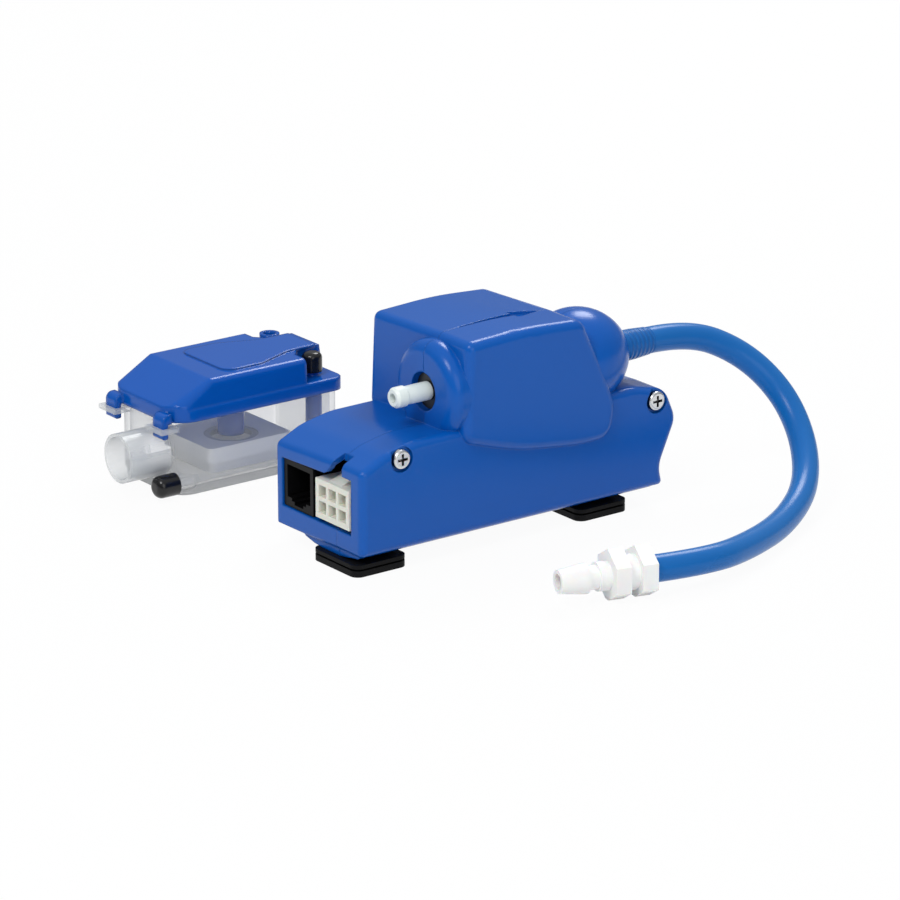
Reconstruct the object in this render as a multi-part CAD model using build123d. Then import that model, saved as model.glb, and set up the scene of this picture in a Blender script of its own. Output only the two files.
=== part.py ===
from build123d import *
import math
import os

# Condensate pump with its hose and its detection tank.
# Working frame: X runs along the pump from its connector end to its outlet, Y runs across it
# with the cover side at -Y, Z is up and the floor is z = 0. Millimetres.

# ---- Pump casing: two moulded halves that meet at the seam plane ----
base_z = 5.1                  # underside of the casing
near_y = -17.75               # flat outer side of the cover
far_y = 20.0                  # flat outer side of the case
seam_y = -6.8                 # parting plane, and middle plane of the pump mechanism
wall = 1.8
near_edge_r = 2.0
far_edge_r = 2.0
deck_fall = 0.045             # fall of the case's top per millimetre away from the seam
# Side view of the low body: X, Z and corner radius of each corner, from the nose to the heel.
deck_corners = [(0.0, base_z, 1.2), (0.0, 27.4, 2.2), (7.4, 30.8, 14.0), (16.4, 32.6, 24.0),
                (86.5, 33.2, 14.0), (96.8, 30.9, 6.0), (100.4, 22.6, 5.5), (95.0, 10.4, 7.0), (96.3, base_z, 1.0)]
# Shallow keel under the body: Y and Z of its front view, and its ends along X.
keel_z = 3.1
keel_points = [(9.6, base_z + 0.2), (7.6, 4.2), (4.0, 3.4), (0.5, keel_z), (-6.8, keel_z), (-10.4, 3.6),
               (-14.6, 4.3), (-16.0, base_z + 0.2)]
keel_x0, keel_x1 = 0.9, 93.8

# ---- Raised housing over the solenoid ----
pad_near_y = -19.8
pad_far_y = 21.8
pad_wall = 2.3
pad_fall = 0.035
throat_z0, throat_z1 = 26.0, 36.0      # passage between the low body and the housing
throat_setback = 4.2
pad_rear_x = 74.0
pad_near_r = 2.4
pad_far_r = 2.4
# Side view of the housing and its curved lower edge: X, Z and corner radius.
pad_corners = [(31.5, 55.4, 2.2), (50.0, 56.3, 120.0), (67.8, 55.2, 4.5), (73.9, 42.8, 40.0),
               (78.9, 31.0, 9.0), (77.2, 22.0, 5.0), (67.0, 21.8, 40.0), (47.5, 24.2, 70.0), (30.4, 29.6, 4.0)]

# ---- Pump axis, collar at the inlet and dome at the outlet ----
axis_z = 41.0
boss_front_x = 26.9
boss_base_x = 30.0
boss_r = 12.9
boss_face_r = 9.2
boss_shoulder = (27.75, 11.75)         # X and radius of the middle of the collar's rounding
boss_back_x = 40.0
boss_block_half = 7.3                  # block that squares the collar off to the deck
boss_block_z0, boss_block_z1 = 31.5, 38.0
mouth_r = 5.0
mouth_depth = 1.6
dome_x = 64.0
dome_turn_x = 70.0                     # where the dome starts to close
dome_r = 12.0
dome_mid = (81.5, 11.5)
dome_rim = (87.3, 6.8)
dome_end_x = 88.3
dome_hollow_end_x = 81.4
dome_hollow_mid_x = 76.0

# ---- Pump tube, plunger and valves, all round the pump axis ----
tube_r = 4.0
tube_wall = 0.8
tube_front_x = 30.4
tube_rear_x = 78.4
fit = 0.05                    # radial clearance of pieces that fit in the tube
play = 0.15                   # clearance between the casing and the tube
plunger_front_x = 39.0
plunger_length = 24.0
plunger_bore_r = 1.3
flow_r = 1.25
inlet_tip_x = 17.4
inlet_shank_r = 2.4
inlet_waist_r = 2.3
inlet_barb_r = 2.7
inlet_flange_r = 4.7
inlet_flange_t = 1.8
inlet_spigot = 2.6
valve_seat_x = 70.0
valve_seat_t = 2.0
valve_r = 1.8
valve_t = 1.5
valve_chamber_r = 2.4
valve_chamber_end_x = 76.9
outlet_flange_r = 5.5
outlet_shank_r = 2.9
outlet_ridge_r = 3.2
outlet_tip_x = 98.0
spring_wire = 0.5
coil_front_x, coil_rear_x = 38.0, 62.0
coil_flange_t = 1.6
coil_core_r = 5.2
coil_r = 9.2
coil_flange_r = 10.0
yoke_t = 2.0
yoke_half_height = 10.0
yoke_near = 9.0               # from the pump axis to the open side of the yoke
yoke_back_y = 4.2

# ---- Connector end ----
opening_z0 = 10.1
opening_gap = 0.35            # between the opening and the header or the jack
opening_z1 = 22.9             # top of the opening at its outer side
lip_y, lip_z = -1.4, 23.6     # where the finger notch starts
opening_near_z = 24.6         # top of the opening over the header
notch_left = [(-4.0, 25.6), (-4.7, 34.0)]
notch_right_y = -9.2
notch_depth = 3.8
jack_y0, jack_y1 = 3.8, 16.3
jack_z1 = 22.8
jack_length = 17.0
header_y0, header_y1 = -12.7, 1.5
header_z0, header_z1 = 11.4, 21.7
header_front_x = -0.4
header_length = 13.0
pitch = 4.2
cell = 3.1
pin = 1.0
board_top_z = 10.4
board_t = 1.6
board_x0, board_x1 = 2.4, 62.0
board_y0, board_y1 = -14.6, 16.2

# ---- Screws and feet ----
screw_head_r = 2.55
screw_head_t = 1.5
screw_r = 1.5
screw_length = 18.0
screw_recess_r = 3.3
screw_recess_depth = 1.2
screw_places = {"front": (12.3, 28.9), "rear": (93.3, 28.4)}
screw_post_r = 2.9
foot_places = {"front": 7.15, "rear": 77.5}
foot_length, foot_width = 16.2, 18.9
foot_plate_t = 1.6
foot_groove_t = 0.5
foot_groove_depth = 1.3
foot_stud_r = 2.5
foot_head_r = 3.3
foot_head_t = 1.2

# ---- Hose and its white connector ----
hose_r = 3.5
cuff_r = 4.05                 # over the first ridge; the end of the hose narrows behind it
cuff_end_r = 3.65
cuff_start_x = 89.2
hose_route = [(98.0, -6.8, 41.0), (112.0, -6.8, 41.0), (125.5, -12.5, 34.5), (132.0, -21.5, 25.0),
              (130.5, -32.5, 15.0), (121.5, -44.5, 7.0), (105.0, -55.5, 3.9), (86.0, -65.0, 4.6),
              (66.5, -71.8, 6.3), (50.6, -67.6, 6.3)]
connector_bore_r = 2.0
hex_flat = 11.8
hex_t = 4.1
neck_r = 4.5
neck_length = 3.0
shoulder_r = 3.7
shoulder_length = 3.0
stem_r = 3.05
stem_length = 2.8
barb_crest_r = 3.85
barb_crest_t = 1.0
barb_tip_r = 3.0
barb_length = 7.3

# ---- Detection tank ----
tank_x0, tank_x1 = -2.5, 48.9
tank_y0, tank_y1 = 60.8, 89.6
tank_top_z = 20.3
tank_wall = 1.5
tank_corner_r = 6.0
tank_rear_r = 2.0
tank_skirt_z = 2.4
tank_floor_z = 2.6
inlet_tube_y, inlet_tube_z = 69.8, 11.0
inlet_tube_r = 6.6
inlet_tube_wall = 0.9
inlet_tube_end_x = -14.6
drain_y, drain_z = 62.0, 3.8
drain_r = 2.2
drain_end_x = -6.6
drain_root_x = 3.0
loop_y = (63.4, 85.6)
loop_z = 19.4

# ---- Lid ----
rim = 1.5                     # overhang of the lid past the tank
lid_edge_z = 23.8
lid_top_z = 30.4
lid_wall = 1.6
lid_slope_x = 8.6             # where the sloping front meets the top
lid_lean = 0.9                # how far the hump's sides lean in
lid_front_r = 4.2             # rounding of the hump's long edges, at its front and behind the slope
lid_edge_r = 1.8
lid_rear_lean = 1.6
lid_clear = 0.2
panel_step = 0.4
panel_x0, panel_x1 = 15.3, 47.2
panel_wide = (63.6, 85.6)
panel_narrow = (68.4, 81.2)
panel_neck = (26.5, 38.0)
panel_r = 3.4
spigot_x = 43.8
vent_y, suction_y = 85.0, 65.4
ledge_x = 38.4
ledge_corner_x = 41.4
ledge_inset = {"suction": 3.6, "vent": 3.4}
spigot_r = 2.7
vent_hole_r = 1.7
vent_top_z = 30.5
suction_spigot_r = 1.8
suction_top_z = 28.2
suction_tube_r = 2.2
suction_tube_x = 44.2
suction_bore_r = 0.9
suction_end_z = 2.6
sensor_x, sensor_y = 22.6, 72.6
sensor_r = 3.6
sensor_end_z = 10.2
hook_width = 4.6
hook_t = 1.7
hook_reach = 3.9              # from the tank's front to the hook's outer side
hook_end_z = 16.6
hook_shoulder_r = 1.9

# ---- Float and caps ----
float_x0, float_x1 = 10.0, 36.0
float_y0, float_y1 = 63.9, 86.8
float_gap = 0.3               # float at rest above the tank's floor
float_step_z, float_top_z = 5.9, 10.0
float_hole_r = 5.6            # clears the sensor post that the float rises round
magnet_r = 7.2
magnet_t = 1.6
cap_length = 6.4
cap_stand = 1.2               # from the lid's edge up to its rubber cap
drain_cap_r = 3.0


def box(x0, x1, y0, y1, z0, z1):
    """A box between its limits."""
    return Pos((x0 + x1) / 2, (y0 + y1) / 2, (z0 + z1) / 2) * Box(x1 - x0, y1 - y0, z1 - z0)


def rod_x(r, x0, x1, y=seam_y, z=axis_z):
    """A cylinder along X."""
    return Pos((x0 + x1) / 2, y, z) * Rot(0, 90, 0) * Cylinder(r, x1 - x0)


def rod_y(r, y0, y1, x, z):
    """A cylinder along Y."""
    return Pos(x, (y0 + y1) / 2, z) * Rot(90, 0, 0) * Cylinder(r, y1 - y0)


def rod_z(r, z0, z1, x, y):
    """A cylinder along Z."""
    return Pos(x, y, (z0 + z1) / 2) * Cylinder(r, z1 - z0)


def along_y(face, y0, y1):
    """A side outline, drawn in X and Z, made solid from y0 to y1."""
    return extrude(Plane(origin=(0, y1, 0), x_dir=(1, 0, 0), z_dir=(0, -1, 0)) * face, y1 - y0)


def along_y_falling(face, y0, y1, fall):
    """The same outline made solid from y0 to y1, lower by fall for each millimetre of the way."""
    start = Plane(origin=(0, y0, 0), x_dir=(1, 0, 0), z_dir=(0, -1, 0)) * face
    way = Vector(0, y1 - y0, -fall * (y1 - y0))
    return extrude(start, way.length, dir=way.normalized())


def along_x(points, x0, x1):
    """A front outline, a polygon of Y and Z, made solid from x0 to x1."""
    face = make_face(Polyline(*points, close=True))
    return extrude(Plane(origin=(x0, 0, 0), x_dir=(0, 1, 0), z_dir=(1, 0, 0)) * face, x1 - x0)


def turned(edges, y=seam_y, z=axis_z):
    """A profile of X and radius, turned round a line along X."""
    face = Plane.XZ * make_face(edges)
    return Pos(0, y, z) * revolve(face, Axis.X)


def turned_polygon(points, y=seam_y, z=axis_z):
    """A turned solid whose profile is a polygon of X and radius."""
    return turned(Polyline(*points, close=True), y, z)


def side_edges(solid, y):
    """The edges of the flat side of a solid at y."""
    return solid.edges().filter_by(lambda e: abs(e.center().Y - y) < 0.01 and e.bounding_box().size.Y < 0.01)


def near_side(solid):
    """The part of a solid on the cover's side of the seam."""
    reach = 200.0
    return solid & box(-reach, reach, -reach, seam_y, -reach, reach)


def far_side(solid):
    """The part of a solid on the case's side of the seam."""
    reach = 200.0
    return solid & box(-reach, reach, seam_y, reach, -reach, reach)


def above(solid, z):
    """The part of a solid above z."""
    reach = 200.0
    return solid & box(-reach, reach, -reach, reach, z, reach)


# ---- Casing ----
def rounded_outline(corners):
    """A closed outline from its corners, each with a radius of its own."""
    points = [(x, z) for x, z, r in corners]
    return make_face(FilletPolyline(*points, radius=[r for x, z, r in corners], close=True))


def boss_edges():
    """Half profile of the inlet collar."""
    return (ThreePointArc((boss_base_x, boss_r), boss_shoulder, (boss_front_x, boss_face_r))
            + Polyline((boss_front_x, boss_face_r), (boss_front_x, 0), (boss_back_x, 0), (boss_back_x, boss_r),
                       (boss_base_x, boss_r)))


def dome_edges():
    """Half profile of the outlet dome."""
    rim_x, rim_r = dome_rim
    return (ThreePointArc((dome_turn_x, dome_r), dome_mid, dome_rim)
            + Polyline(dome_rim, (dome_end_x, rim_r - 1.6), (dome_end_x, 0), (dome_x, 0), (dome_x, dome_r),
                       (dome_turn_x, dome_r)))


def dome_hollow_edges():
    """Half profile of the space in the dome."""
    top, end_r = dome_r - wall, dome_mid[1] - wall - 0.4
    return (ThreePointArc((dome_turn_x, top), (dome_hollow_mid_x, top - 0.1), (dome_hollow_end_x, end_r))
            + Polyline((dome_hollow_end_x, end_r), (dome_hollow_end_x, 0), (dome_x, 0), (dome_x, top),
                       (dome_turn_x, top)))


def keel(shrink, x0, x1):
    """Shallow keel under the low body, or the space in it."""
    points = [(y * (1 - 0.12 * shrink), z + shrink) for y, z in keel_points]
    return along_x(points, x0, x1)


def casing_skin():
    """Outer form of both halves together."""
    low_near = along_y(rounded_outline(deck_corners), near_y, seam_y)
    low_near = fillet(side_edges(low_near, near_y), near_edge_r)
    low_far = along_y_falling(rounded_outline(deck_corners), seam_y, far_y, deck_fall)
    low_far = above(fillet(side_edges(low_far, far_y), far_edge_r), base_z)
    pad_near = along_y(rounded_outline(pad_corners), pad_near_y, seam_y)
    pad_near = fillet(side_edges(pad_near, pad_near_y), pad_near_r)
    pad_far = along_y_falling(rounded_outline(pad_corners), seam_y, pad_far_y, pad_fall)
    pad_far = fillet(side_edges(pad_far, pad_far_y), pad_far_r)
    block = box(boss_front_x, boss_base_x + 2, seam_y - boss_block_half, seam_y + boss_block_half,
                boss_block_z0, boss_block_z1)
    low = low_near + low_far + keel(0, keel_x0, keel_x1)
    return low + (pad_near + pad_far) + turned(boss_edges()) + block + turned(dome_edges())


def casing_hollow():
    """Space inside both halves."""
    low_face = offset(rounded_outline(deck_corners), -wall)
    pad_face = offset(rounded_outline(pad_corners), -pad_wall)
    low = along_y(low_face, near_y + wall, seam_y)
    low += above(along_y_falling(low_face, seam_y, far_y - wall, deck_fall), base_z + wall)
    pad = along_y(pad_face, pad_near_y + wall, seam_y)
    pad += along_y_falling(pad_face, seam_y, pad_far_y - wall, pad_fall)
    throat = box(tube_front_x + throat_setback, pad_rear_x, near_y + wall, far_y - wall, throat_z0, throat_z1)
    return low + pad + throat + turned(dome_hollow_edges())


def connector_opening():
    """Opening in the nose for the jack and the header, with the finger notch above the header."""
    right, left = header_y0 - opening_gap, jack_y1 + opening_gap
    outer, nose_wall = -1.0, 2.6
    front = along_x([(left, opening_z0), (left, opening_z1), (lip_y, lip_z), (lip_y - 3, opening_near_z),
                     (right, opening_near_z), (right, opening_z0)], outer, nose_wall)
    top_y, top_z = notch_left[1]
    edge = ThreePointArc((lip_y, lip_z - 0.2), notch_left[0], notch_left[1])
    notch = make_face(edge + Polyline((top_y, top_z), (notch_right_y, top_z), (notch_right_y, lip_z - 0.2),
                                      (lip_y, lip_z - 0.2)))
    return front + extrude(Plane(origin=(outer, 0, 0), x_dir=(0, 1, 0), z_dir=(1, 0, 0)) * notch,
                           notch_depth - outer)


def flow_arrow():
    """Shallow arrow in the top of the housing, pointing at the outlet."""
    tail_x, neck_x, head_x = 38.0, 54.8, 63.4
    tail_half, neck_half, head_half = 0.12, 0.9, 2.7
    arrow_z, cut_height = 54.9, 3.0
    points = [(tail_x, tail_half), (neck_x, neck_half), (neck_x, head_half), (head_x, 0),
              (neck_x, -head_half), (neck_x, -neck_half), (tail_x, -tail_half)]
    face = make_face(Polyline(*[(x, seam_y + y) for x, y in points], close=True))
    return extrude(Plane(origin=(0, 0, arrow_z)) * face, cut_height)


def casing():
    """Both halves of the casing, before they are parted."""
    body = casing_skin() - casing_hollow()
    for x, z in screw_places.values():
        post = rod_y(screw_post_r, near_y + screw_recess_depth, far_y - 0.5, x, z)
        post &= casing_skin()
        body += post
        body -= rod_y(screw_recess_r, near_y - 1, near_y + screw_recess_depth, x, z)
        body -= rod_y(screw_r + 0.1, near_y, near_y + screw_recess_depth + screw_length + 1, x, z)
    body -= rod_x(mouth_r, boss_front_x - 1, boss_front_x + mouth_depth)
    body -= rod_x(inlet_flange_r + 0.1, boss_front_x + mouth_depth, tube_front_x)
    body -= rod_x(tube_r + play, tube_front_x, tube_front_x + throat_setback + 2)
    body -= rod_x(outlet_ridge_r + play, dome_hollow_end_x - 1, dome_end_x + 1)
    body -= connector_opening()
    body -= flow_arrow()
    for x in foot_places.values():
        body -= rod_z(foot_stud_r + 0.1, keel_z - 1, base_z + wall + 1, x, seam_y)
    return body


def pump_cover():
    """Shallow half on the near side, with a rest for the board."""
    rest_x0, rest_x1, rest_t = 40.0, 56.0, 2.0
    rest = box(rest_x0, rest_x1, board_y0 + 1.0, board_y0 + 1.0 + rest_t, base_z + wall - 0.2,
               board_top_z - board_t)
    return near_side(casing()) + rest


def pump_case():
    """Deep half, with ribs that hold the solenoid and the board."""
    rib_t, rib_half, rib_reach = 2.0, 8.0, 0.2
    half = far_side(casing())
    for x in (coil_front_x + 1.0, coil_rear_x - 3.0):
        half += box(x, x + rib_t, yoke_back_y + yoke_t, pad_far_y - wall + rib_reach, axis_z - rib_half,
                    axis_z + rib_half)
    for x in (22.0, 56.0):
        half += box(x, x + rib_t, board_y1 - 5.0, board_y1 - 2.0, base_z + wall - rib_reach,
                    board_top_z - board_t)
    return half


# ---- Pump mechanism ----
def inlet_barb():
    """Nylon hose barb with a flange, and a spigot that closes the tube."""
    tip, flange = inlet_tip_x, boss_front_x + mouth_depth
    spigot_r = tube_r - tube_wall - fit
    profile = [(tip, flow_r), (tip, 2.1), (tip + 0.7, inlet_barb_r - 0.05), (tip + 3.2, inlet_barb_r),
               (tip + 3.6, inlet_waist_r), (tip + 6.0, inlet_shank_r),
               (flange, inlet_shank_r), (flange, inlet_flange_r), (flange + inlet_flange_t, inlet_flange_r),
               (flange + inlet_flange_t, spigot_r), (tube_front_x + inlet_spigot, spigot_r),
               (tube_front_x + inlet_spigot, flow_r)]
    return turned_polygon(profile)


def pump_tube():
    """Straight tube that the plunger runs in."""
    return rod_x(tube_r, tube_front_x, tube_rear_x) - rod_x(tube_r - tube_wall, tube_front_x, tube_rear_x)


def plunger():
    """Hollow steel plunger with two shallow grooves."""
    r = tube_r - tube_wall - fit
    body = rod_x(r, plunger_front_x, plunger_front_x + plunger_length)
    body = chamfer(body.edges().filter_by(GeomType.CIRCLE), 0.3)
    for x in (plunger_front_x + 6, plunger_front_x + plunger_length - 7):
        body -= rod_x(r + 1, x, x + 1) - rod_x(r - 0.4, x, x + 1)
    return body - rod_x(plunger_bore_r, plunger_front_x - 1, plunger_front_x + plunger_length + 1)


def spring(x0, x1, r, turns):
    """Round-wire spring along the pump axis."""
    height = x1 - x0 - spring_wire
    helix = Helix(pitch=height / turns, height=height, radius=r)
    section = Plane(origin=helix @ 0, z_dir=helix % 0) * Circle(spring_wire / 2)
    coil = sweep(section, path=helix)
    return Pos(x0 + spring_wire / 2, seam_y, axis_z) * Rot(0, 90, 0) * coil


def outlet_seat():
    """Ring with the hole that the outlet valve closes."""
    r = tube_r - tube_wall - fit
    ring = rod_x(r, valve_seat_x, valve_seat_x + valve_seat_t)
    return ring - rod_x(flow_r, valve_seat_x, valve_seat_x + valve_seat_t)


def outlet_valve():
    """Rubber disc with a stem that the valve spring sits on."""
    face = valve_seat_x + valve_seat_t
    return rod_x(valve_r, face, face + valve_t) + rod_x(0.8, face + valve_t, face + valve_t + 1.0)


def outlet_barb():
    """Valve chamber, flange and ribbed barb of the outlet."""
    start = valve_seat_x + valve_seat_t
    spigot_r = tube_r - tube_wall - fit
    flange_end = dome_hollow_end_x
    points = [(start, valve_chamber_r), (start, spigot_r), (tube_rear_x, spigot_r), (tube_rear_x, outlet_flange_r),
              (flange_end, outlet_flange_r), (flange_end, outlet_shank_r), (cuff_start_x + 0.6, outlet_shank_r)]
    for x in (cuff_start_x + 1.0, cuff_start_x + 2.8):
        points += [(x, outlet_ridge_r - 0.5), (x + 1.2, outlet_ridge_r), (x + 1.4, outlet_ridge_r - 0.5)]
    points += [(outlet_tip_x, outlet_ridge_r - 0.6), (outlet_tip_x, flow_r), (valve_chamber_end_x, flow_r),
               (valve_chamber_end_x, valve_chamber_r)]
    return turned_polygon(points)


def coil_bobbin():
    """Plastic spool of the solenoid."""
    spool = rod_x(coil_core_r, coil_front_x, coil_rear_x)
    spool += rod_x(coil_flange_r, coil_front_x, coil_front_x + coil_flange_t)
    spool += rod_x(coil_flange_r, coil_rear_x - coil_flange_t, coil_rear_x)
    return spool - rod_x(tube_r + fit, coil_front_x, coil_rear_x)


def coil_winding():
    """Copper winding between the spool's flanges."""
    x0, x1 = coil_front_x + coil_flange_t, coil_rear_x - coil_flange_t
    return rod_x(coil_r, x0, x1) - rod_x(coil_core_r, x0, x1)


def solenoid_yoke():
    """Folded steel bracket round three sides of the coil."""
    x0, x1 = coil_front_x - yoke_t, coil_rear_x + yoke_t
    y0 = seam_y - yoke_near
    z0, z1 = axis_z - yoke_half_height, axis_z + yoke_half_height
    yoke = box(x0, x1, y0, yoke_back_y + yoke_t, z0, z1)
    yoke -= box(coil_front_x, coil_rear_x, y0 - 1, yoke_back_y, z0 - 1, z1 + 1)
    return yoke - rod_x(tube_r + fit, x0 - 1, x1 + 1)


# ---- Connector end ----
def jack_socket():
    """Modular jack with a stepped slot for the plug's latch."""
    middle = (jack_y0 + jack_y1) / 2
    body = box(0.5, jack_length, jack_y0, jack_y1, board_top_z, jack_z1)
    body -= box(-1, jack_length - 3, middle - 4.95, middle + 4.95, board_top_z + 2.4, jack_z1 - 1.4)
    body -= box(-1, jack_length - 5, middle - 3.1, middle + 3.1, board_top_z + 1.6, board_top_z + 3)
    return body - box(-1, jack_length - 5, middle - 1.9, middle + 1.9, board_top_z + 0.8, board_top_z + 3)


def jack_contacts():
    """Six sprung wires under the roof of the jack."""
    middle = (jack_y0 + jack_y1) / 2
    roof = jack_z1 - 1.4
    wires = None
    for i in range(6):
        y = middle + (i - 2.5) * 1.02
        wire = box(2.6, jack_length - 3, y - 0.2, y + 0.2, roof - 0.45, roof)
        leg = Pos(jack_length - 3.0, y, roof - 0.2) * Rot(0, -28, 0) * Pos(-3.6, 0, 0) * Box(7.0, 0.4, 0.4)
        wires = wire + leg if wires is None else wires + wire + leg
    return wires


def power_header():
    """White six-way header with a latch ramp on its roof and two pegs that stand on the board."""
    x1 = header_front_x + header_length
    body = box(header_front_x, x1, header_y0, header_y1, header_z0, header_z1)
    middle_y, middle_z = (header_y0 + header_y1) / 2, (header_z0 + header_z1) / 2
    for i in range(3):
        for j in range(2):
            y, z = middle_y + (i - 1) * pitch, middle_z + (j - 0.5) * pitch
            body -= box(header_front_x - 1, x1 - 3, y - cell / 2, y + cell / 2, z - cell / 2, z + cell / 2)
    ramp = make_face(Polyline((header_front_x + 1, header_z1), (header_front_x + 5, header_z1),
                              (header_front_x + 5, header_z1 + 1.3), close=True))
    body += along_y(ramp, middle_y - 2.6, middle_y + 2.6)
    for y in (header_y0 + 2, header_y1 - 2):
        body += rod_z(0.9, board_top_z, header_z0, x1 - 3, y)
    return body


def header_pins():
    """Six square pins in the header."""
    x1 = header_front_x + header_length
    middle_y, middle_z = (header_y0 + header_y1) / 2, (header_z0 + header_z1) / 2
    pins = None
    for i in range(3):
        for j in range(2):
            y, z = middle_y + (i - 1) * pitch, middle_z + (j - 0.5) * pitch
            one = box(header_front_x + 3, x1 - 3, y - pin / 2, y + pin / 2, z - pin / 2, z + pin / 2)
            pins = one if pins is None else pins + one
    return pins


def circuit_board():
    """Board that carries the jack and the header."""
    return box(board_x0, board_x1, board_y0, board_y1, board_top_z - board_t, board_top_z)


# ---- Fasteners and feet ----
def casing_screw(x, z):
    """Pan-head screw with a cross recess."""
    seat = near_y + screw_recess_depth
    head = rod_y(screw_head_r, seat - screw_head_t, seat, x, z)
    head = fillet(head.faces().sort_by(Axis.Y)[0].edges(), 0.7)
    for angle in (0, 90):
        head -= Pos(x, seat - screw_head_t, z) * Rot(0, angle, 0) * Box(3.0, 1.6, 0.7)
    return head + rod_y(screw_r, seat, seat + screw_length, x, z)


def foot(x):
    """Rubber foot: floor plate, groove, upper plate and the stud that snaps into the casing."""
    groove_z = foot_plate_t + foot_groove_t
    half_x, half_y = foot_length / 2, foot_width / 2
    plates = box(x - half_x, x + half_x, seam_y - half_y, seam_y + half_y, 0, keel_z)
    plates = fillet(plates.edges().filter_by(Axis.Z), 2.4)
    inner_x, inner_y = half_x - foot_groove_depth, half_y - foot_groove_depth
    groove = box(x - half_x - 1, x + half_x + 1, seam_y - half_y - 1, seam_y + half_y + 1,
                 foot_plate_t, groove_z)
    groove -= box(x - inner_x, x + inner_x, seam_y - inner_y, seam_y + inner_y, foot_plate_t, groove_z)
    head_z = base_z + wall
    stud = rod_z(foot_stud_r, keel_z, head_z, x, seam_y)
    return plates - groove + stud + rod_z(foot_head_r, head_z, head_z + foot_head_t, x, seam_y)


# ---- Hose ----
def hose_path():
    """Straight runs of the route joined by the largest tangent arcs that they allow."""
    points = [Vector(*p) for p in hose_route]
    radii = []
    for before, here, after in zip(points, points[1:], points[2:]):
        turn = math.radians((here - before).get_angle(after - here))
        run = min((here - before).length, (after - here).length)
        radii.append(0.45 * run / math.tan(turn / 2))
    print("hose radii:", [round(r, 1) for r in radii])
    return FilletPolyline(*points, radius=radii)


def outlet_hose():
    """Free hose from the barb to the connector."""
    path = hose_path()
    tube = sweep(Plane(origin=path @ 0, z_dir=path % 0) * Circle(hose_r), path=path)
    print("hose length", round(path.length, 1), "volume ratio",
          round(tube.volume / (math.pi * hose_r ** 2 * path.length), 5))
    return tube


def hose_cuff():
    """End of the hose, stretched over the ribbed barb."""
    bore_r, first_x = outlet_ridge_r + 0.02, cuff_start_x + 1.6
    return turned_polygon([(cuff_start_x, bore_r), (cuff_start_x, cuff_r - 0.35), (first_x, cuff_r),
                           (first_x + 2.6, cuff_r - 0.05), (outlet_tip_x, cuff_end_r), (outlet_tip_x, bore_r)])


def hose_connector():
    """White barbed connector: two hexagons, a neck, a shoulder, a stem and one large barb."""
    end, before = Vector(*hose_route[-1]), Vector(*hose_route[-2])
    hexagon = RegularPolygon(hex_flat / 2, 6, major_radius=False)
    second_z = hex_t + neck_length
    shoulder_z = second_z + hex_t
    stem_z = shoulder_z + shoulder_length
    barb_z = stem_z + stem_length
    cone_z = barb_z + barb_crest_t
    tip_z = barb_z + barb_length
    body = extrude(hexagon, hex_t) + Pos(0, 0, hex_t + neck_length / 2) * Cylinder(neck_r, neck_length)
    body += extrude(Pos(0, 0, second_z) * hexagon, hex_t)
    body += Pos(0, 0, shoulder_z + shoulder_length / 2) * Cylinder(shoulder_r, shoulder_length)
    body += Pos(0, 0, stem_z + stem_length / 2) * Cylinder(stem_r, stem_length)
    body += Pos(0, 0, barb_z + barb_crest_t / 2) * Cylinder(barb_crest_r, barb_crest_t)
    body += Pos(0, 0, (cone_z + tip_z) / 2) * Cone(barb_crest_r, barb_tip_r, tip_z - cone_z)
    body -= Pos(0, 0, tip_z / 2) * Cylinder(connector_bore_r, tip_z + 2)
    return Plane(origin=end, x_dir=(0, 0, 1), z_dir=end - before) * body


# ---- Detection tank ----
def tank_plan(grow):
    """Rounded plan of the tank, grown or shrunk all round."""
    middle_x = (tank_x0 + tank_x1) / 2
    plan = Rectangle(tank_x1 - tank_x0 + 2 * grow, tank_y1 - tank_y0 + 2 * grow)
    plan = Pos(middle_x, (tank_y0 + tank_y1) / 2) * plan
    plan = fillet(plan.vertices().filter_by(lambda v: v.X < middle_x), tank_corner_r + grow)
    return fillet(plan.vertices().filter_by(lambda v: v.X > tank_x1 + grow - 0.1), tank_rear_r + grow)


def plan_block(grow, z0, z1):
    """The tank's plan made solid between two heights."""
    return extrude(Pos(0, 0, z0) * tank_plan(grow), z1 - z0)


def tank():
    """Clear open-topped box with the drain inlet, the low nozzle and the two lid loops."""
    body = plan_block(-0.5, 0, tank_skirt_z) + plan_block(0, tank_skirt_z, tank_top_z)
    body += rod_x(inlet_tube_r, inlet_tube_end_x, tank_x0 + 0.5, inlet_tube_y, inlet_tube_z)
    body += rod_x(drain_r, drain_end_x, drain_root_x, drain_y, drain_z)
    for y in loop_y:
        body += box(tank_x0 - 5.2, tank_x0 + 0.4, y - hook_width / 2 - 1.5, y + hook_width / 2 + 1.5,
                    loop_z - 1.0, loop_z + 0.2)
    body -= plan_block(-tank_wall, tank_floor_z, tank_top_z + 1)
    body -= rod_x(inlet_tube_r - inlet_tube_wall, inlet_tube_end_x - 1, tank_x0 + tank_wall + 0.5,
                  inlet_tube_y, inlet_tube_z)
    body -= rod_x(drain_r - 1.0, drain_end_x - 1, drain_root_x + 1.5, drain_y, drain_z)
    for y in loop_y:
        body -= box(tank_x0 - 4.1, tank_x0 - 1.4, y - hook_width / 2 - 0.3, y + hook_width / 2 + 0.3,
                    loop_z - 2, loop_z + 1)
    return body


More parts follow.
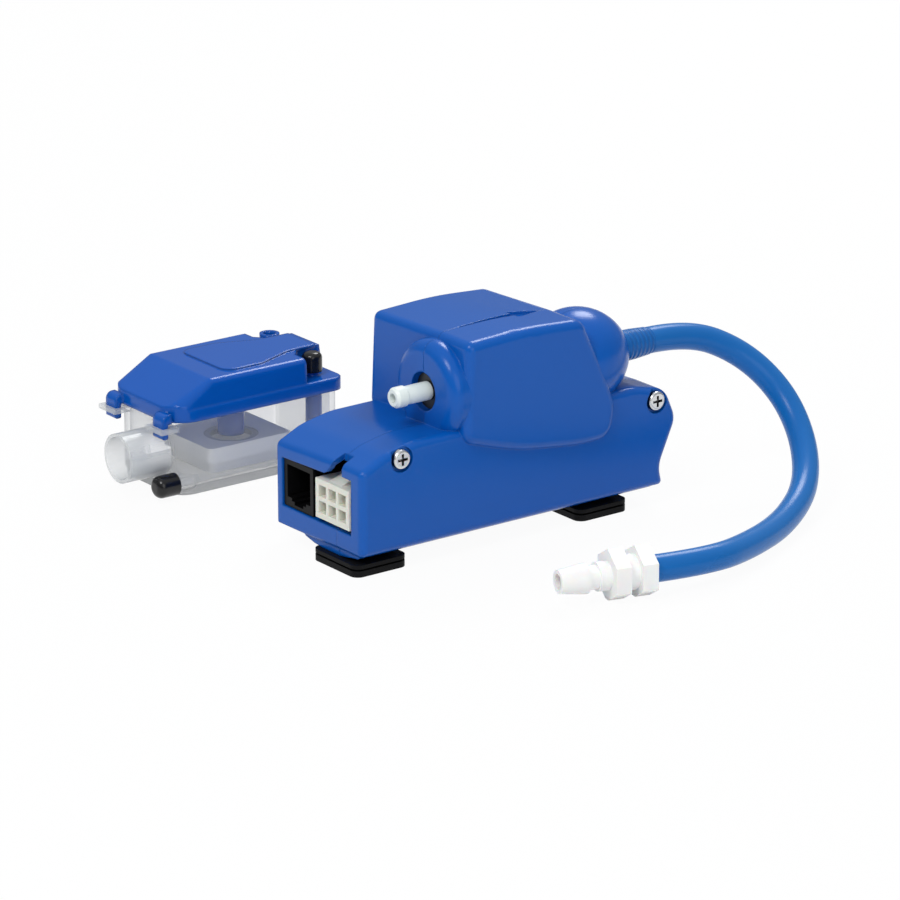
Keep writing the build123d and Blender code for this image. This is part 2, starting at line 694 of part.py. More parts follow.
def hump_section(x, top, radius, shrink):
    """Front view of the hump at x: leaning sides and rounded long edges."""
    y0, y1 = tank_y0 - rim + 0.05 + shrink, tank_y1 + rim - 0.05 - shrink
    foot_z = tank_top_z - 6.0
    lean = lid_lean * (top - foot_z) / (lid_top_z - foot_z)
    corners = [(y0, foot_z), (y0 + lean, top), (y1 - lean, top), (y1, foot_z)]
    edge = FilletPolyline(*corners, radius=[0.2, radius, radius, 0.2], close=True)
    return Plane(origin=(x, 0, 0), x_dir=(0, 1, 0), z_dir=(1, 0, 0)) * make_face(edge)


def lid_hump(shrink):
    """Raised middle of the lid: a slope at its front, a level top, and a leaning rear end."""
    front_x, rear_x = tank_x0 - rim, tank_x1 + rim - 0.3
    drop = 1.08 * shrink
    front = hump_section(front_x, lid_edge_z + 0.3 - drop, lid_front_r - shrink, shrink)
    crest = hump_section(lid_slope_x, lid_top_z - shrink, lid_edge_r, shrink)
    back = hump_section(rear_x + 1, lid_top_z - shrink, lid_edge_r, shrink)
    hump = loft([front, crest], ruled=True) + loft([crest, back], ruled=True)
    side = make_face(Polyline((front_x - 1, tank_top_z), (front_x - 1, lid_top_z + 1),
                              (rear_x - lid_rear_lean - shrink, lid_top_z + 1), (rear_x - shrink, tank_top_z),
                              close=True))
    return hump & along_y(side, tank_y0 - 4, tank_y1 + 4) & plan_block(rim - 0.05, lid_edge_z - 1.2, lid_top_z + 1)


def ledges(grow):
    """Cut-outs at the rear corners of the hump for the two spigots."""
    middle_y, rear_x = (tank_y0 + tank_y1) / 2, tank_x1 + 12
    both = None
    for sign, y, inset in ((-1, suction_y, ledge_inset["suction"]), (1, vent_y, ledge_inset["vent"])):
        face = make_face(Polyline((ledge_x, middle_y + sign * 22), (ledge_x, y), (ledge_corner_x, y - sign * inset),
                                  (rear_x, y - sign * inset), (rear_x, middle_y + sign * 22), close=True))
        if grow:
            face = offset(face, grow)
        cut = extrude(Pos(0, 0, lid_edge_z - grow) * face, 20)
        both = cut if both is None else both + cut
    return both


def lid_panel():
    """Raised tongue on the hump's top, wide at its front and narrow between the ledges."""
    neck_x0, neck_x1 = panel_neck
    corners = [(panel_x0, panel_wide[0], panel_r), (neck_x0, panel_wide[0], 6.0), (neck_x1, panel_narrow[0], 9.0),
               (panel_x1, panel_narrow[0], 0.5), (panel_x1, panel_narrow[1], 0.5), (neck_x1, panel_narrow[1], 9.0),
               (neck_x0, panel_wide[1], 6.0), (panel_x0, panel_wide[1], panel_r)]
    return extrude(Pos(0, 0, lid_top_z - 0.2) * rounded_outline(corners), panel_step + 0.2)


def lid():
    """Blue lid: rim, hump with ledges for the two spigots, hooks, sensor pot and suction tube."""
    body = plan_block(rim, tank_top_z, lid_edge_z)
    body = fillet(body.faces().sort_by(Axis.Z)[-1].edges(), 0.6) + (lid_hump(0) - ledges(0)) + lid_panel()
    inside = plan_block(-tank_wall - lid_clear, tank_top_z - 1, lid_top_z)
    body -= plan_block(-tank_wall - lid_clear, tank_top_z - 1, lid_edge_z - lid_wall)
    body -= (lid_hump(lid_wall) & inside) - ledges(lid_wall)
    body += rod_z(spigot_r, lid_edge_z - 0.5, vent_top_z, spigot_x, vent_y)
    body -= rod_z(vent_hole_r, tank_top_z - 1, vent_top_z + 1, spigot_x, vent_y)
    body += rod_z(sensor_r, sensor_end_z, lid_top_z - lid_wall + 0.1, sensor_x, sensor_y)
    body += rod_z(suction_tube_r, suction_end_z, lid_edge_z - 0.5, suction_tube_x, suction_y)
    body += rod_z(suction_spigot_r, lid_edge_z - 1, suction_top_z, spigot_x, suction_y)
    body -= rod_z(suction_bore_r, suction_end_z - 1, suction_top_z + 1, spigot_x + 0.2, suction_y)
    arm_x, half = tank_x0 - hook_reach, hook_width / 2
    for y in loop_y:
        arm = make_face(FilletPolyline((tank_x0 - rim + 0.5, tank_top_z + 0.2), (arm_x + hook_t, tank_top_z + 0.2),
                                       (arm_x + hook_t, hook_end_z), (arm_x, hook_end_z), (arm_x, lid_edge_z - 0.8),
                                       (tank_x0 - rim + 0.5, lid_edge_z - 0.8),
                                       radius=[0.1, 0.4, 0.4, 0.4, hook_shoulder_r, 0.1], close=True))
        body += along_y(arm, y - half, y + half)
    return body


def float_block():
    """White two-step float with a hole for the sensor post and a pocket for the ring magnet."""
    body = box(float_x0, float_x1, float_y0, float_y1, float_step_z, float_top_z)
    body = fillet(body.edges().filter_by(Axis.Z), 2.0)
    low = box(float_x0 + 1.2, float_x1 - 1.2, float_y0 + 1.2, float_y1 - 1.2, tank_floor_z + float_gap, float_step_z)
    low = fillet(low.edges().filter_by(Axis.Z), 2.0)
    body += low
    body -= rod_z(magnet_r + fit, float_top_z - magnet_t, float_top_z + 1, sensor_x, sensor_y)
    return body - rod_z(float_hole_r, 0, float_top_z, sensor_x, sensor_y)


def float_magnet():
    """Ring magnet in the float's pocket, round the sensor post."""
    ring = rod_z(magnet_r, float_top_z - magnet_t, float_top_z - 0.2, sensor_x, sensor_y)
    return ring - rod_z(float_hole_r, 0, float_top_z, sensor_x, sensor_y)


def drain_cap():
    """Rubber cap on the tank's low nozzle."""
    x1 = tank_x0 + 0.2
    x0 = x1 - cap_length
    cap = rod_x(drain_cap_r, x0, x1, drain_y, drain_z)
    cap = fillet(cap.faces().sort_by(Axis.X)[0].edges(), 2.0)
    return cap - rod_x(drain_r + 0.05, drain_end_x - 0.3, x1 + 1, drain_y, drain_z)


def spigot_cap():
    """Rubber cap on the lid's suction spigot."""
    top = suction_top_z + 0.3 + 1.7
    cap = rod_z(spigot_r, lid_edge_z + cap_stand, top, spigot_x, suction_y)
    cap = fillet(cap.faces().sort_by(Axis.Z)[-1].edges(), 1.6)
    return cap - rod_z(suction_spigot_r + 0.05, lid_edge_z, suction_top_z + 0.3, spigot_x, suction_y)


def all_parts():
    """Every sub-part by its node name, in the working frame."""
    barb_end = tube_front_x + inlet_spigot
    plunger_end = plunger_front_x + plunger_length
    valve_back = valve_seat_x + valve_seat_t + valve_t
    parts = {
        "pump_cover": pump_cover(), "pump_case": pump_case(), "inlet_barb": inlet_barb(),
        "pump_tube": pump_tube(), "plunger": plunger(), "outlet_seat": outlet_seat(),
        "outlet_valve": outlet_valve(), "outlet_barb": outlet_barb(),
        "front_spring": spring(barb_end, plunger_front_x, 2.3, 4),
        "rear_spring": spring(plunger_end, valve_seat_x, 2.3, 4),
        "valve_spring": spring(valve_back, valve_chamber_end_x, 1.6, 4),
        "coil_bobbin": coil_bobbin(), "coil_winding": coil_winding(), "solenoid_yoke": solenoid_yoke(),
        "jack_socket": jack_socket(), "jack_contacts": jack_contacts(),
        "power_header": power_header(), "header_pins": header_pins(), "circuit_board": circuit_board(),
        "hose_cuff": hose_cuff(), "outlet_hose": outlet_hose(), "hose_connector": hose_connector(),
        "tank": tank(), "lid": lid(), "float": float_block(), "float_magnet": float_magnet(),
        "drain_cap": drain_cap(), "spigot_cap": spigot_cap(),
    }
    for name, (x, z) in screw_places.items():
        parts["casing_screw_" + name] = casing_screw(x, z)
    for name, x in foot_places.items():
        parts["foot_" + name] = foot(x)
    return parts


parts = all_parts()
cord = ("outlet_hose", "hose_connector")
low = [min(p.bounding_box().min.X for n, p in parts.items() if n not in cord),
       min(p.bounding_box().min.Y for n, p in parts.items() if n not in cord)]
high = [max(p.bounding_box().max.X for n, p in parts.items() if n not in cord),
        max(p.bounding_box().max.Y for n, p in parts.items() if n not in cord)]
shift = Pos(-(low[0] + high[0]) / 2, -(low[1] + high[1]) / 2, 0)
print("origin of the row in the working frame:", round((low[0] + high[0]) / 2, 4), round((low[1] + high[1]) / 2, 4))
os.makedirs("parts", exist_ok=True)
for name, shape in parts.items():
    export_step(shift * shape, "parts/" + name + ".step")
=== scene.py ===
import math
import bpy
import bmesh
from mathutils import Matrix, Vector


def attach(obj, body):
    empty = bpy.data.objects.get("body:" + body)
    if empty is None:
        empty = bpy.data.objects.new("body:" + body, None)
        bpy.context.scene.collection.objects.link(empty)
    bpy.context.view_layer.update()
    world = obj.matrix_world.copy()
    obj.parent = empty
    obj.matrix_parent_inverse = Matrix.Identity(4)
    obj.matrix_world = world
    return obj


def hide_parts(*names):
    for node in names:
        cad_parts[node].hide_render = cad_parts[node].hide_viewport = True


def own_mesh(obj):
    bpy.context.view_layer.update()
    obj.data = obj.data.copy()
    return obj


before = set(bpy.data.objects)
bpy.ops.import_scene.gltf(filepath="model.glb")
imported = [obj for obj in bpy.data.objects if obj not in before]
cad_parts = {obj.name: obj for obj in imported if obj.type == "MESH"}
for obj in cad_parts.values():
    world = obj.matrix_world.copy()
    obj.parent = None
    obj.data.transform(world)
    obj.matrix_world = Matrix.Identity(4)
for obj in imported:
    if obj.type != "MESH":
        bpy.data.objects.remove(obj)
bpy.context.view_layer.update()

# Camera: a long lens more than a metre away, which looks down on the connector end and the cover side.
# Places are in the pump's working frame, in millimetres: its connector face is x = 0 and its floor z = 0.
# place() turns them into metres in the object's own frame.
frame_origin = (42.6476, 35.65)
mm_per_metre = 1000
eye_place = (-659.15, -934.97, 411.76)
eye_azimuth, eye_elevation = math.radians(-36.8), math.radians(18.5)
sensor_width, focal_length = 36.0, 194.4
nearest_seen, farthest_seen = 0.05, 20.0


def place(x, y, z):
    return Vector(((x - frame_origin[0]) / mm_per_metre, (y - frame_origin[1]) / mm_per_metre,
                   z / mm_per_metre))


back = Vector((math.sin(eye_azimuth) * math.cos(eye_elevation),
               -math.cos(eye_azimuth) * math.cos(eye_elevation), math.sin(eye_elevation)))
right = Vector((math.cos(eye_azimuth), math.sin(eye_azimuth), 0))
up = back.cross(right)
lens = bpy.data.cameras.new("eye")
lens.sensor_width = sensor_width
lens.lens = focal_length
lens.clip_start, lens.clip_end = nearest_seen, farthest_seen
eye = bpy.data.objects.new("eye", lens)
turn = Matrix((right, up, back)).transposed().to_4x4()
eye.matrix_world = Matrix.Translation(place(*eye_place)) @ turn
bpy.context.scene.collection.objects.link(eye)
bpy.context.scene.camera = eye

# Outlet hose: one length of soft blue tube, pushed over the outlet barb and over the white connector.
# It leaves the outlet level, swings round towards the cover side and comes down to lie on the floor.
# The barb's ribs show as rings through its stretched end, the cuff, and just past it.
hose_radius, hose_length = 0.0035, 0.153
hose_exit = (98.0, -6.8, 41.0)
hose_route = [hose_exit, (112.0, -6.8, 41.0), (125.5, -12.5, 34.5), (132.0, -21.5, 25.0),
              (130.5, -32.5, 15.0), (121.5, -44.5, 7.0), (105.0, -55.5, 3.9), (86.0, -65.0, 4.6),
              (66.5, -71.8, 6.3), (50.6, -67.6, 6.3)]
ring_start, ring_end = place(90.6, 0, 0).x, place(98.9, 0, 0).x
ring_pitch, ring_floor = 0.0014, 0.035
hose_deep, hose_milky = (0.006, 0.128, 0.43, 1), (0.020, 0.180, 0.50, 1)
hose_drift, hose_ring = (0.010, 0.140, 0.46, 1), (0.004, 0.070, 0.30, 1)

hose_line = bpy.data.curves.new("hose", "CURVE")
hose_line.dimensions = "3D"
hose_line.bevel_depth = hose_radius
hose_line.bevel_resolution = 10
hose_line.resolution_u = 24
hose_line.use_fill_caps = True
run = hose_line.splines.new("NURBS")
run.points.add(len(hose_route) - 1)
for point, where in zip(run.points, hose_route):
    point.co = (*place(*where), 1)
run.order_u = 3
run.use_endpoint_u = True
run.use_smooth = True
hose = bpy.data.objects.new("hose", hose_line)
bpy.context.scene.collection.objects.link(hose)


class Link:
    """One output socket. + * and ** on it add Math nodes."""
    def __init__(self, nodes, socket):
        self.nodes, self.socket = nodes, socket

    def __add__(self, other):
        return self.nodes.maths("ADD", self, other)

    __radd__ = __add__

    def __mul__(self, other):
        return self.nodes.maths("MULTIPLY", self, other)

    __rmul__ = __mul__

    def __pow__(self, other):
        return self.nodes.maths("POWER", self, other)


class Nodes:
    """One tree of nodes. node() makes any node from its type, its settings and its sockets."""
    def __init__(self, tree):
        self.tree = tree

    def feed(self, socket, value):
        if isinstance(value, Link):
            self.tree.links.new(value.socket, socket)
        else:
            socket.default_value = value

    def node(self, kind, settings=None, sockets=None, out=0):
        made = self.tree.nodes.new(kind)
        for key, value in (settings or {}).items():
            if key == "stops":
                for stop, (position, colour) in zip(made.color_ramp.elements, value):
                    stop.position, stop.color = position, colour
            else:
                setattr(made, key, value)
        for key, value in (sockets or {}).items():
            self.feed(made.inputs[key], value)
        return Link(self, made.outputs[out])

    def maths(self, operation, first, second):
        return self.node("ShaderNodeMath", {"operation": operation}, {0: first, 1: second})


class Finish(Nodes):
    """One material, with what its surface is made from."""
    def __init__(self, name):
        self.material = bpy.data.materials.new(name)
        self.material.use_nodes = True
        super().__init__(self.material.node_tree)
        self.shader = self.tree.nodes["Principled BSDF"]

    def coordinates(self):
        return self.node("ShaderNodeTexCoord", out="Object")

    def place_on(self, axis):
        return self.node("ShaderNodeSeparateXYZ", None, {0: self.coordinates()}, out=axis)

    def noise(self, scale, detail=3.0, roughness=0.5):
        return self.node("ShaderNodeTexNoise", None, {"Vector": self.coordinates(), "Scale": scale,
                                                      "Detail": detail, "Roughness": roughness})

    def mix(self, factor, first, second):
        """A Mix node's sockets for colours are numbers 6 and 7, and its colour comes out of number 2."""
        return self.node("ShaderNodeMix", {"data_type": "RGBA"}, {0: factor, 6: first, 7: second}, out=2)

    def bump(self, height, distance, strength, over=None):
        sockets = {"Height": height, "Distance": distance, "Strength": strength}
        if over:
            sockets["Normal"] = over
        return self.node("ShaderNodeBump", None, sockets)

    def surface(self, **sockets):
        for name, value in sockets.items():
            self.feed(self.shader.inputs[name.replace("_", " ")], value)


def dress(finish, *pieces):
    """Puts one finish on pieces of the solid model, all over."""
    for piece in pieces:
        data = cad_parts[piece].data
        data.materials.clear()
        data.materials.append(finish.material)


soft_blue = Finish("soft blue hose")
drift = soft_blue.noise(55.0, 2.0)
milky = soft_blue.node("ShaderNodeLayerWeight", None, {"Blend": 0.45}, out="Facing")
hose_tint = soft_blue.mix(milky ** 1.4, hose_deep, hose_milky)
run_x = soft_blue.place_on("X")
ringed = (soft_blue.maths("GREATER_THAN", run_x, ring_start)
          * soft_blue.maths("LESS_THAN", run_x, ring_end)
          * soft_blue.maths("GREATER_THAN", soft_blue.place_on("Z"), ring_floor))
rings = soft_blue.maths("SINE", run_x * (2 * math.pi / ring_pitch), 0.0) * ringed
hose_tone = soft_blue.mix(drift * 0.25, hose_tint, hose_drift)
soft_blue.surface(Base_Color=soft_blue.mix(ringed * 0.3 + rings * 0.18, hose_tone, hose_ring),
                  Roughness=0.22 + drift * 0.12, IOR=1.3,
                  Normal=soft_blue.bump(soft_blue.noise(900.0) * 0.1 + rings, 0.0002, 0.45))
hose_line.materials.append(soft_blue.material)
dress(soft_blue, "hose_cuff")
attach(hose, "pump")
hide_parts("outlet_hose")

# Casing: a deep half and a shallow cover, moulded in blue plastic with a fine even grain and a satin
# gloss. They close round the pump, and two screws hold them together.
casing_deep, casing_pale = (0.0005, 0.090, 0.420, 1), (0.001, 0.104, 0.465, 1)
casing_edge_radius = 0.0006
casing_blue = Finish("satin blue plastic")
grain = casing_blue.noise(2600.0, 2.0)
rounded = casing_blue.node("ShaderNodeBevel", {"samples": 6}, {"Radius": casing_edge_radius})
cloud = casing_blue.noise(28.0)
casing_blue.surface(Base_Color=casing_blue.mix(cloud * 0.5, casing_deep, casing_pale),
                    Roughness=0.20 + cloud * 0.08, IOR=1.34,
                    Normal=casing_blue.bump(grain, 0.00004, 0.35, rounded))
dress(casing_blue, "pump_cover", "pump_case")

# Screws: zinc-plated steel pan heads with a cross recess, whose shade is painted into their colour, driven
# in from the cover side. The coil's yoke and the plunger inside are plated steel as well, turned fine and
# bright.
painted_recess_shade = (0.03, 0.03, 0.035, 1)
zinc_deep, zinc_pale = (0.60, 0.61, 0.62, 1), (0.80, 0.80, 0.79, 1)
recess_reach = 0.0011
zinc = Finish("bright zinc plate")
brushing = zinc.noise(1400.0)
# Painted shade: where ambient occlusion finds a hollow within 1.1 mm, as in the cross recess, the plate
# colour goes near black. This falls on every piece in this finish.
open_sky = zinc.node("ShaderNodeAmbientOcclusion", {"samples": 8}, {"Distance": recess_reach}, out="AO")
plate = zinc.mix(brushing, zinc_deep, zinc_pale)
zinc.surface(Base_Color=zinc.mix(open_sky ** 3.0, painted_recess_shade, plate), Metallic=1.0,
             Roughness=0.16 + brushing * 0.16, Normal=zinc.bump(brushing, 0.00002, 0.3))
dress(zinc, "casing_screw_front", "casing_screw_rear", "solenoid_yoke", "plunger")

# Springs: coiled from round steel wire, and loose in the pump. One stands before the plunger, one behind
# it and one behind the outlet valve. Each rests on a fixed end and is squeezed by what moves against it,
# and each is drawn as a coil of its own.
plunger_travel, valve_travel = 0.003, 0.001
front_end, rear_end = 0, 1
weld = 1e-6
for spring_node, joint, stroke, held_end in (("front_spring", "plunger_stroke", plunger_travel, front_end),
                                             ("rear_spring", "plunger_stroke", plunger_travel, rear_end),
                                             ("valve_spring", "outlet_valve_lift", valve_travel, rear_end)):
    coil_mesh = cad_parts[spring_node].data.copy()
    coil_mesh.materials.clear()
    coil_mesh.materials.append(zinc.material)
    wire = bmesh.new()
    wire.from_mesh(coil_mesh)
    bmesh.ops.remove_doubles(wire, verts=wire.verts, dist=weld)
    wire.to_mesh(coil_mesh)
    wire.free()
    spring = bpy.data.objects.new(spring_node + "_wire", coil_mesh)
    bpy.context.scene.collection.objects.link(spring)
    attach(spring, "pump")
    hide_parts(spring_node)
    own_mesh(spring)

# Feet and outlet valve: moulded black rubber, matt, with a dusty bloom. The feet snap into the casing's
# underside by their studs, and the valve is a loose disc that its spring presses on its seat.
rubber_deep, rubber_pale = (0.002, 0.002, 0.002, 1), (0.008, 0.008, 0.009, 1)
rubber = Finish("black rubber")
bloom = rubber.noise(160.0, 4.0, 0.6)
rubber.surface(Base_Color=rubber.mix(bloom, rubber_deep, rubber_pale),
               Roughness=0.42 + bloom * 0.2, IOR=1.2, Normal=rubber.bump(rubber.noise(1500.0), 0.00003, 0.4))
dress(rubber, "foot_front", "foot_rear", "outlet_valve")

# Caps: soft black vinyl with a wet gloss, dip-moulded. One is pulled over the tank's low nozzle and one
# over the lid's spigot, and both pull off by hand.
vinyl_deep, vinyl_pale = (0.003, 0.003, 0.003, 1), (0.007, 0.007, 0.008, 1)
vinyl = Finish("black vinyl")
dimple = vinyl.noise(420.0, 2.0)
vinyl.surface(Base_Color=vinyl.mix(dimple, vinyl_deep, vinyl_pale),
              Roughness=0.14 + dimple * 0.14, IOR=1.45, Normal=vinyl.bump(dimple, 0.0001, 0.5))
dress(vinyl, "drain_cap", "spigot_cap")

# Jack: a modular socket, moulded in glossy black plastic. It sits on the end of the circuit board, behind
# the opening in the casing's end.
jack_deep, jack_pale = (0.002, 0.002, 0.002, 1), (0.006, 0.006, 0.007, 1)
jack_black = Finish("black connector plastic")
mottle = jack_black.noise(300.0)
jack_black.surface(Base_Color=jack_black.mix(mottle, jack_deep, jack_pale),
                   Roughness=0.28 + mottle * 0.14, IOR=1.22, Normal=jack_black.bump(mottle, 0.00002, 0.3))
dress(jack_black, "jack_socket")

# Contacts: the jack's spring wires and the header's pins, bent from gold-plated wire and pressed into
# their housings. The pump's drawn brass tube has the same yellow shine.
gold_deep, gold_pale = (0.75, 0.52, 0.20, 1), (0.86, 0.66, 0.32, 1)
gold = Finish("gold plate")
wire_wear = gold.noise(700.0)
gold.surface(Base_Color=gold.mix(wire_wear, gold_deep, gold_pale), Metallic=1.0,
             Roughness=0.25 + wire_wear * 0.15)
dress(gold, "jack_contacts", "header_pins", "pump_tube")

# Hose connector: two hexagons and a barb, moulded as one in off-white nylon that is a little translucent
# at its edges. Its inner barb is pushed into the hose's free end.
connector_deep, connector_pale = (0.89, 0.89, 0.87, 1), (0.94, 0.94, 0.92, 1)
connector_white = Finish("off-white nylon")
speck = connector_white.noise(420.0)
connector_white.surface(Base_Color=connector_white.mix(speck, connector_deep, connector_pale),
                        Roughness=0.38 + speck * 0.12, Subsurface_Weight=0.3, Subsurface_Scale=0.001,
                        Normal=connector_white.bump(connector_white.noise(1800.0), 0.00002, 0.4))
dress(connector_white, "hose_connector")

# Power header: two rows of three square cells, moulded in cream nylon. It stands on the circuit board by
# two pegs, beside the jack.
header_deep, header_pale = (0.74, 0.74, 0.65, 1), (0.82, 0.82, 0.73, 1)
header_cream = Finish("cream nylon")
fleck = header_cream.noise(420.0)
header_cream.surface(Base_Color=header_cream.mix(fleck, header_deep, header_pale),
                     Roughness=0.36 + fleck * 0.12, Subsurface_Weight=0.2, Subsurface_Scale=0.0006,
                     Normal=header_cream.bump(header_cream.noise(1800.0), 0.00002, 0.4))
dress(header_cream, "power_header")

# Outlet barb, valve seat and coil bobbin: moulded in milky nylon with a faint green cast. The seat and the
# barb, with the valve between them, close the tube's outlet end, and the bobbin slides over the tube.
nylon_deep, nylon_pale = (0.76, 0.84, 0.80, 1), (0.85, 0.90, 0.86, 1)
milky_nylon = Finish("milky nylon")
haze = milky_nylon.noise(350.0)
milky_nylon.surface(Base_Color=milky_nylon.mix(haze, nylon_deep, nylon_pale),
                    Roughness=0.34 + haze * 0.12, Subsurface_Weight=0.4, Subsurface_Scale=0.001,
                    Normal=milky_nylon.bump(milky_nylon.noise(1600.0), 0.00002, 0.4))
dress(milky_nylon, "outlet_barb", "outlet_seat", "coil_bobbin")

# Inlet barb: the same moulded nylon outside, with a spigot that closes the tube's inlet end. Its flange and
# all of it behind, down in the mouth of the casing's collar, are painted near black as the shade in the
# mouth.
flange_front = place(28.2, 0, 0).x
painted_mouth_shade = (0.006, 0.008, 0.006, 1)
inlet_nylon = Finish("milky nylon with painted mouth shade")
film = inlet_nylon.noise(350.0)
# Painted shade: from the flange's front face back, the colour is near black, standing in for the shade down
# in the collar's mouth.
in_mouth_shade = inlet_nylon.maths("GREATER_THAN", inlet_nylon.place_on("X"), flange_front)
inlet_tint = inlet_nylon.mix(film, nylon_deep, nylon_pale)
inlet_nylon.surface(Base_Color=inlet_nylon.mix(in_mouth_shade, inlet_tint, painted_mouth_shade),
                    Roughness=0.34 + film * 0.12,
                    Normal=inlet_nylon.bump(inlet_nylon.noise(1600.0), 0.00002, 0.4))
dress(inlet_nylon, "inlet_barb")

# Coil: enamelled copper wire, wound tight between the bobbin's flanges, with the steel yoke round three
# sides of it. Its turns show as fine ridges.
copper_deep, copper_pale = (0.32, 0.11, 0.04, 1), (0.66, 0.28, 0.12, 1)
copper = Finish("enamelled copper")
winding = copper.node("ShaderNodeTexWave", {"bands_direction": "X"},
                      {"Vector": copper.coordinates(), "Scale": 400.0, "Distortion": 0.4}, out=1)
copper.surface(Base_Color=copper.mix(winding, copper_deep, copper_pale), Metallic=0.8,
               Roughness=0.3 + winding * 0.1, Normal=copper.bump(winding, 0.0002, 0.6))
dress(copper, "coil_winding")

# Circuit board: green laminate of woven glass and resin, cut to shape. It carries the jack and the header
# and is held in the casing.
board_deep, board_pale = (0.01, 0.12, 0.05, 1), (0.02, 0.19, 0.09, 1)
laminate = Finish("green laminate")
weave = laminate.noise(500.0)
laminate.surface(Base_Color=laminate.mix(weave, board_deep, board_pale), Roughness=0.4 + weave * 0.1)
dress(laminate, "circuit_board")

# Float: a block of hard white foam with a chalky skin, moulded in two steps. It slides up and down the
# lid's post as the water in the tank rises and falls.
foam_deep, foam_pale = (0.92, 0.92, 0.91, 1), (0.97, 0.97, 0.96, 1)
foam = Finish("white foam")
pore = foam.noise(800.0, 4.0)
foam.surface(Base_Color=foam.mix(pore, foam_deep, foam_pale),
             Roughness=0.6 + pore * 0.2, Normal=foam.bump(pore, 0.00008, 0.4))
dress(foam, "float")

# Float magnet: a ring of pressed ferrite under a grey coat of resin, set in the float round the post.
# The sensor in the post feels it pass.
magnet_deep, magnet_pale = (0.42, 0.43, 0.45, 1), (0.55, 0.56, 0.58, 1)
ferrite = Finish("resin coated magnet")
grit = ferrite.noise(900.0)
ferrite.surface(Base_Color=ferrite.mix(grit, magnet_deep, magnet_pale), Roughness=0.5 + grit * 0.2)
dress(ferrite, "float_magnet")

# Lid: moulded in a deeper blue plastic with a high gloss, in one piece with its spigots, post and hooks.
# It sits over the tank's rim, and the hooks snap into the tank's loops.
lid_deep, lid_pale = (0.001, 0.084, 0.42, 1), (0.002, 0.100, 0.47, 1)
lid_edge_radius = 0.0013
lid_blue = Finish("glossy blue plastic")
ripple = lid_blue.noise(60.0, 2.0)
lid_round = lid_blue.node("ShaderNodeBevel", {"samples": 8}, {"Radius": lid_edge_radius})
lid_blue.surface(Base_Color=lid_blue.mix(ripple * 0.5, lid_deep, lid_pale),
                 Roughness=0.08 + ripple * 0.06, IOR=1.34,
                 Normal=lid_blue.bump(ripple, 0.0001, 0.15, lid_round))
dress(lid_blue, "lid")

# Tank: clear plastic, moulded as one open box with its inlet tube, nozzle and loops. It shows light
# straight through its faces and grey along its edges; its skirt, the lowest 2.6 mm, is darker and less
# see-through, and its inlet tube is less see-through.
skirt_top, tube_root = 0.0026, place(-2.6, 0, 0).x
wall_tint, skirt_tint, edge_tint = (0.88, 0.90, 0.90, 1), (0.40, 0.42, 0.42, 1), (0.28, 0.30, 0.31, 1)
wall_cover, edge_cover, streak_cover, skirt_cover, tube_cover = 0.04, 0.7, 0.04, 0.34, 0.2
clear = Finish("clear plastic")
edge_on = clear.node("ShaderNodeLayerWeight", None, {"Blend": 0.35}, out="Facing")
streak = clear.noise(45.0, 2.0)
skirt = clear.maths("LESS_THAN", clear.place_on("Z"), skirt_top)
tube = clear.maths("LESS_THAN", clear.place_on("X"), tube_root)
face_tint = clear.mix(skirt, wall_tint, skirt_tint)
clear.surface(Base_Color=clear.mix(edge_on, face_tint, edge_tint),
              Roughness=0.05 + streak * 0.08, IOR=1.5,
              Alpha=(wall_cover + edge_on ** 1.3 * edge_cover + streak * streak_cover
                     + skirt * skirt_cover + tube * tube_cover))
dress(clear, "tank")

# Floor: a flat sheet of pale paper under the set. It shows almost white by itself, and to whatever
# mirrors it or looks through to it, and it keeps a faint shadow.
floor_reach = 3.0
paper_deep, paper_pale, paper_glow = (0.80, 0.80, 0.80, 1), (0.83, 0.83, 0.83, 1), (1, 1, 1, 1)
glow_share = 0.95
sheet = bmesh.new()
bmesh.ops.create_grid(sheet, x_segments=1, y_segments=1, size=floor_reach)
floor_mesh = bpy.data.meshes.new("floor")
sheet.to_mesh(floor_mesh)
sheet.free()
floor = bpy.data.objects.new("floor", floor_mesh)
bpy.context.scene.collection.objects.link(floor)
paper = Finish("pale paper")
fibre = paper.noise(12.0)
paper.surface(Base_Color=paper.mix(fibre, paper_deep, paper_pale), Roughness=0.9)
camera_ray = paper.node("ShaderNodeLightPath", out="Is Camera Ray")
glossy_ray = paper.node("ShaderNodeLightPath", out="Is Glossy Ray")
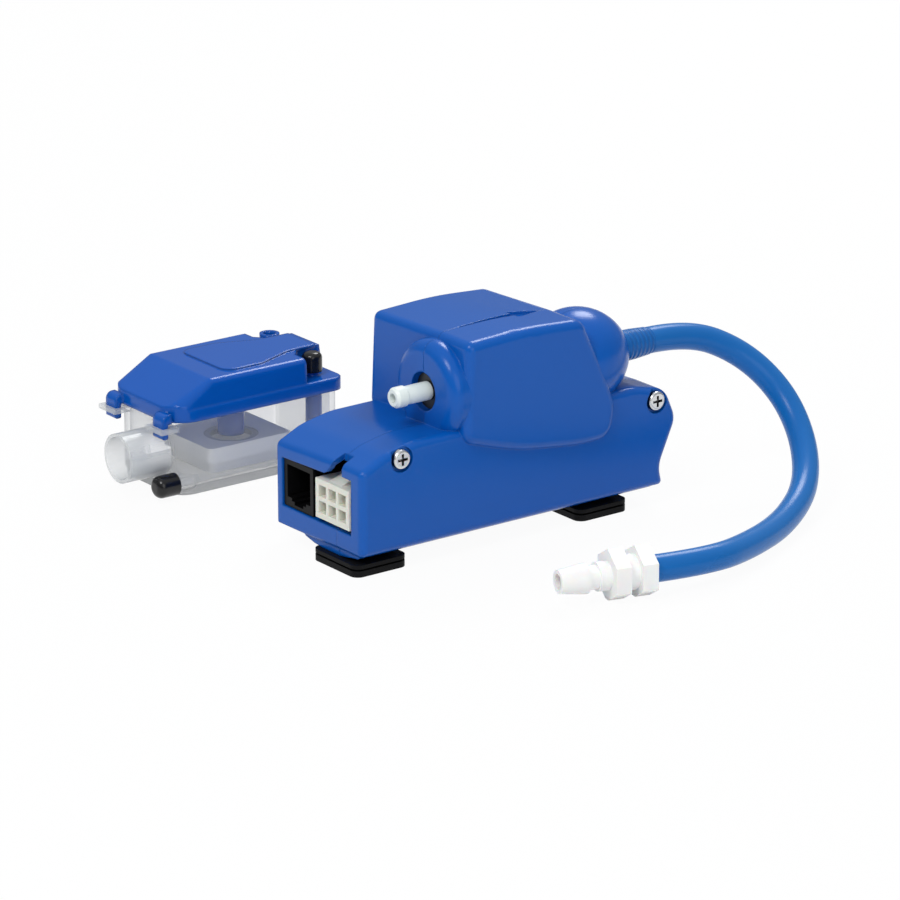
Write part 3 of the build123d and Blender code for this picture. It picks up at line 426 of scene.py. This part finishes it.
through_ray = paper.node("ShaderNodeLightPath", out="Is Transmission Ray")
seen = paper.maths("MAXIMUM", paper.maths("MAXIMUM", camera_ray, glossy_ray), through_ray)
glow = paper.node("ShaderNodeEmission", None, {"Color": paper_glow, "Strength": 1.0})
blend = paper.node("ShaderNodeMixShader", None,
                   {0: seen * glow_share, 1: Link(paper, paper.shader.outputs[0]), 2: glow})
paper.feed(paper.tree.nodes["Material Output"].inputs["Surface"], blend)
floor_mesh.materials.append(paper.material)

# Sky: a plain studio dome all round, which gives an even soft light. It is grey at the height of the
# floor and pale overhead.
horizon_height, horizon_grey = 0.1, (0.22, 0.225, 0.23, 1)
overhead_height, overhead_pale = 1.0, (0.80, 0.82, 0.85, 1)
sky = bpy.data.worlds.new("sky")
sky.use_nodes = True
dome = Nodes(sky.node_tree)
heading = dome.node("ShaderNodeTexCoord", out="Generated")
height = dome.node("ShaderNodeSeparateXYZ", None, {0: heading}, out="Z")
shade = dome.node("ShaderNodeValToRGB",
                  {"stops": ((horizon_height, horizon_grey), (overhead_height, overhead_pale))}, {0: height})
dome.feed(sky.node_tree.nodes["Background"].inputs["Color"], shade)
bpy.context.scene.world = sky

# Lamps: three round soft ones. The key is high over the connector end, the fill is low in front of the
# cover, and the top one is high behind the hose. A row gives a lamp's place, aim, width and power.
low_aim, high_aim = (0, 0, 0.02), (0, 0, 0.03)
for name, spot, aim, width, power in (("key", (-0.7, -0.3, 0.9), low_aim, 0.4, 4.5),
                                      ("fill", (-0.35, -1.05, 0.5), low_aim, 0.8, 2.4),
                                      ("top", (0.66, 0.46, 0.85), high_aim, 0.45, 5.0)):
    light = bpy.data.lights.new(name, "AREA")
    light.shape = "DISK"
    light.size = width
    light.energy = power
    holder = bpy.data.objects.new(name, light)
    holder.matrix_world = (Matrix.Translation(spot)
                           @ (Vector(spot) - Vector(aim)).to_track_quat("Z", "Y").to_matrix().to_4x4())
    bpy.context.scene.collection.objects.link(holder)
bpy.context.scene.view_settings.view_transform = "Standard"
